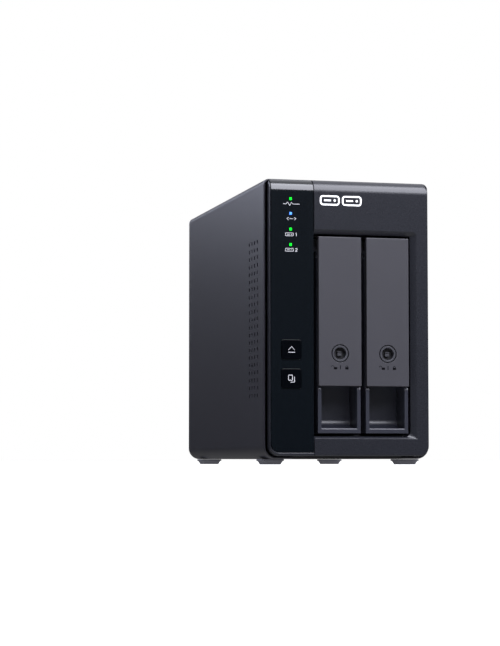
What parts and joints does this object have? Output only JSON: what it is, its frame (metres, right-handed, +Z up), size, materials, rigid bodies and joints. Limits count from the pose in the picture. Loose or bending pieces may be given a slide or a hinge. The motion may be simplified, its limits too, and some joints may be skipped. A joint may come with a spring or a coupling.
{
  "type": "two-bay desktop drive enclosure",
  "caption": "Desktop storage enclosure with two pull-out drive trays on locking lever handles, a gloss status panel with lamps and press buttons, vented side cover and rear fan.",
  "frame": {"origin": "middle of the footprint, on the surface that the feet stand on", "axes": "+Z up, the front with the trays faces -Y, +X to the right of someone facing the front"},
  "size_m": [0.102, 0.219, 0.1685],
  "materials": {
    "cover_paint": "fine textured black-grey paint, satin",
    "chassis_steel": "zinc-plated sheet, satin",
    "bezel_plastic": "moulded black, fine satin texture",
    "gloss_panel": "polished piano black",
    "green_lens": "lit translucent lens",
    "blue_lens": "lit translucent lens",
    "button_black": "near-black, light gloss",
    "black_plastic": "black, matt moulded",
    "cable_black": "black sleeve",
    "tray_plastic": "dark grey, satin moulded",
    "handle_plastic": "mid grey, fine spark-eroded grain",
    "plated_steel": "nickel-plated",
    "board_green": "solder-masked circuit board",
    "chip_black": "epoxy black",
    "cast_aluminium": "cast, satin",
    "ribbon_grey": "flat flexible cable",
    "dip_blue": "moulded blue",
    "dip_white": "moulded white",
    "foot_rubber": "dark grey, matt"
  },
  "bodies": {
    "chassis": {"backplane_board": "board_green", "base_plate": "chassis_steel", "cage_divider": "chassis_steel", "cage_left_sheet": "chassis_steel", "cage_right_sheet": "chassis_steel", "controller_chip": "chip_black", "copy_switch": "black_plastic", "cover_screw_1": "plated_steel", "cover_screw_2": "plated_steel", "cover_screw_3": "plated_steel", "dip_switch_body": "dip_blue", "disk_1_lens": "green_lens", "disk_2_lens": "green_lens", "eject_switch": "black_plastic", "fan_cable": "cable_black", "fan_frame": "black_plastic", "fan_guard": "plated_steel", "foot_front_left": "foot_rubber", "foot_front_right": "foot_rubber", "foot_rear_left": "foot_rubber", "foot_rear_right": "foot_rubber", "front_bezel": "bezel_plastic", "front_board": "board_green", "front_ribbon": "ribbon_grey", "heatsink": "cast_aluminium", "link_lens": "blue_lens", "lower_guide": "black_plastic", "main_board": "board_green", "outer_cover": "cover_paint", "power_jack": "black_plastic", "rear_panel": "cover_paint", "sata_connector_1": "chip_black", "sata_connector_2": "chip_black", "status_lens": "green_lens", "status_panel": "gloss_panel", "upper_guide": "black_plastic", "usb_port": "plated_steel"},
    "fan_rotor": {"fan_rotor": "black_plastic"},
    "eject_button": {"eject_button": "button_black"},
    "copy_button": {"copy_button": "button_black"},
    "power_button": {"power_button": "button_black"},
    "dip_lever_1": {"dip_lever_1": "dip_white"},
    "dip_lever_2": {"dip_lever_2": "dip_white"},
    "dip_lever_3": {"dip_lever_3": "dip_white"},
    "tray_1": {"tray_1_frame": "tray_plastic", "tray_1_hinge_pin": "plated_steel", "tray_1_lower_clip": "black_plastic", "tray_1_upper_clip": "black_plastic", "drive_1_body": "cast_aluminium", "drive_1_board": "board_green"},
    "tray_1_handle": {"tray_1_handle": "handle_plastic"},
    "tray_1_lock": {"tray_1_lock": "black_plastic"},
    "tray_2": {"tray_2_frame": "tray_plastic", "tray_2_hinge_pin": "plated_steel", "tray_2_lower_clip": "black_plastic", "tray_2_upper_clip": "black_plastic", "drive_2_body": "cast_aluminium", "drive_2_board": "board_green"},
    "tray_2_handle": {"tray_2_handle": "handle_plastic"},
    "tray_2_lock": {"tray_2_lock": "black_plastic"}
  },
  "joints": [
    {"name": "tray_1_slide", "type": "slide", "parent": "chassis", "child": "tray_1", "axis": [0, -1, 0], "range_m": [0, 0.175]},
    {"name": "tray_1_handle_hinge", "type": "hinge", "parent": "tray_1", "child": "tray_1_handle", "pos_m": [-0.0064, -0.1033, 0.1235], "axis": [-1, 0, 0], "range_deg": [0, 45]},
    {"name": "tray_1_lock_turn", "type": "hinge", "parent": "tray_1_handle", "child": "tray_1_lock", "pos_m": [-0.0064, -0.1083, 0.0652], "axis": [0, -1, 0], "range_deg": [0, 90]},
    {"name": "tray_2_slide", "type": "slide", "parent": "chassis", "child": "tray_2", "axis": [0, -1, 0], "range_m": [0, 0.175]},
    {"name": "tray_2_handle_hinge", "type": "hinge", "parent": "tray_2", "child": "tray_2_handle", "pos_m": [0.023, -0.1033, 0.1235], "axis": [-1, 0, 0], "range_deg": [0, 45]},
    {"name": "tray_2_lock_turn", "type": "hinge", "parent": "tray_2_handle", "child": "tray_2_lock", "pos_m": [0.023, -0.1083, 0.0652], "axis": [0, -1, 0], "range_deg": [0, 90]},
    {"name": "eject_press", "type": "slide", "parent": "chassis", "child": "eject_button", "axis": [0, 1, 0], "range_m": [0, 0.001], "stiffness_N_per_m": 900, "springref_m": -0.0008},
    {"name": "copy_press", "type": "slide", "parent": "chassis", "child": "copy_button", "axis": [0, 1, 0], "range_m": [0, 0.001], "stiffness_N_per_m": 900, "springref_m": -0.0008},
    {"name": "power_press", "type": "slide", "parent": "chassis", "child": "power_button", "axis": [0, -1, 0], "range_m": [0, 0.0012], "stiffness_N_per_m": 900, "springref_m": -0.0008},
    {"name": "dip_1_slide", "type": "slide", "parent": "chassis", "child": "dip_lever_1", "axis": [1, 0, 0], "range_m": [0, 0.002]},
    {"name": "dip_2_slide", "type": "slide", "parent": "chassis", "child": "dip_lever_2", "axis": [1, 0, 0], "range_m": [0, 0.002]},
    {"name": "dip_3_slide", "type": "slide", "parent": "chassis", "child": "dip_lever_3", "axis": [1, 0, 0], "range_m": [0, 0.002]},
    {"name": "fan_spin", "type": "hinge", "parent": "chassis", "child": "fan_rotor", "pos_m": [0.008, 0.0897, 0.104], "axis": [0, 1, 0], "continuous": true}
  ]
}
